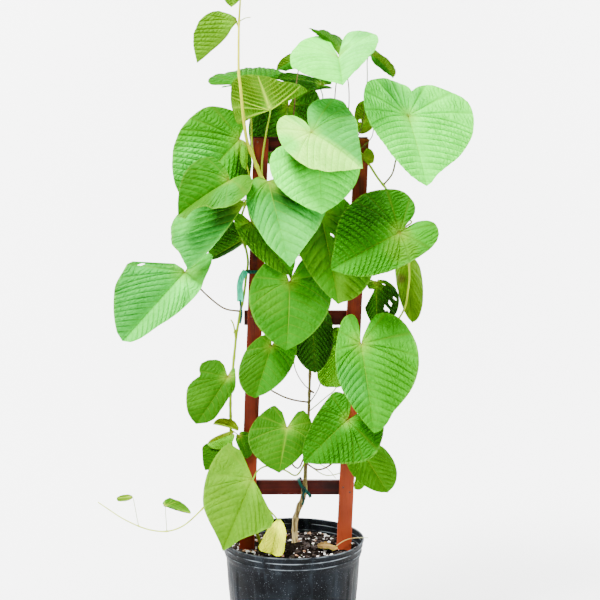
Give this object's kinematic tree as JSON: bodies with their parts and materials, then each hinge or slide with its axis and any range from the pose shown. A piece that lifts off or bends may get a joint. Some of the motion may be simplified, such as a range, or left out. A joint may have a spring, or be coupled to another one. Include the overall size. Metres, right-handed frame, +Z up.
{
  "type": "potted climbing plant",
  "caption": "Heart-leaved elephant creeper trained on a small wooden ladder trellis that stands in a round nursery pot of soil.",
  "frame": {"origin": "centre of the pot's base on the surface it stands on", "axes": "+Z up; -Y toward the side the picture shows; +X to the right of that view"},
  "size_m": [0.6443, 0.2958, 1.2525],
  "materials": {
    "pot_plastic": "black, satin, scuffed",
    "potting_mix": "dark crumbly mix with white perlite",
    "lath_wood": "red-brown stain, satin",
    "rung_wood": "dark red-brown stain, satin",
    "tie_tape": "green stretch tape",
    "woody_stem": "tan bark, green higher up",
    "green_stem": "soft green stem, finely hairy",
    "young_shoot": "yellow-green, finely hairy",
    "dry_leaf": "tan, brittle, matt",
    "leaf_pale": "pale mint green, silky",
    "leaf_mid": "mid green, soft",
    "leaf_deep": "deep green, soft",
    "leaf_lime": "lime green, soft",
    "leaf_yellow": "yellow, soft"
  },
  "bodies": {
    "root": {"pot": "pot_plastic", "soil": "potting_mix", "stile_left": "lath_wood", "stile_right": "lath_wood", "rung_bottom": "rung_wood", "rung_middle": "rung_wood", "rung_top": "rung_wood", "tie_lower": "tie_tape", "tie_left": "tie_tape", "main_stem": "woody_stem", "left_stem": "green_stem", "top_shoot": "young_shoot", "right_stem": "green_stem", "trailing_shoot": "young_shoot", "dry_leaf": "dry_leaf", "leaf_shoot_young": "leaf_lime", "leaf_crown_level": "leaf_mid", "leaf_crown_underside": "leaf_lime", "leaf_crown_behind": "leaf_deep", "leaf_upper_left": "leaf_mid", "leaf_left_cupped": "leaf_mid", "leaf_shoot_small": "leaf_lime", "leaf_left_hanging": "leaf_pale", "leaf_left_shade": "leaf_deep", "leaf_centre_ribbed": "leaf_mid", "leaf_centre_upper": "leaf_pale", "leaf_front_pale": "leaf_pale", "leaf_front_mint": "leaf_pale", "leaf_centre_right": "leaf_mid", "leaf_right_broad": "leaf_mid", "leaf_right_top": "leaf_pale", "leaf_top_pale": "leaf_pale", "leaf_top_edge": "leaf_deep", "leaf_top_back_left": "leaf_mid", "leaf_top_shade": "leaf_deep", "leaf_top_back_right": "leaf_deep", "leaf_left_far": "leaf_pale", "leaf_left_low": "leaf_mid", "leaf_centre_low_left": "leaf_mid", "leaf_centre_heart": "leaf_mid", "leaf_centre_shade": "leaf_deep", "leaf_centre_lime": "leaf_lime", "leaf_centre_scrap": "leaf_deep", "leaf_right_heart": "leaf_mid", "leaf_right_bitten": "leaf_deep", "leaf_right_narrow": "leaf_mid", "leaf_right_low": "leaf_mid", "leaf_right_lowest": "leaf_mid", "leaf_right_lime_tip": "leaf_lime", "leaf_low_centre": "leaf_lime", "leaf_low_front": "leaf_lime", "leaf_yellow": "leaf_yellow", "leaf_low_left_shade": "leaf_deep", "leaf_low_pleated": "leaf_lime", "leaf_low_hooked": "leaf_deep", "leaf_low_dark": "leaf_deep", "leaf_small_holed": "leaf_deep", "leaf_small_dark": "leaf_deep"}
  },
  "joints": []
}
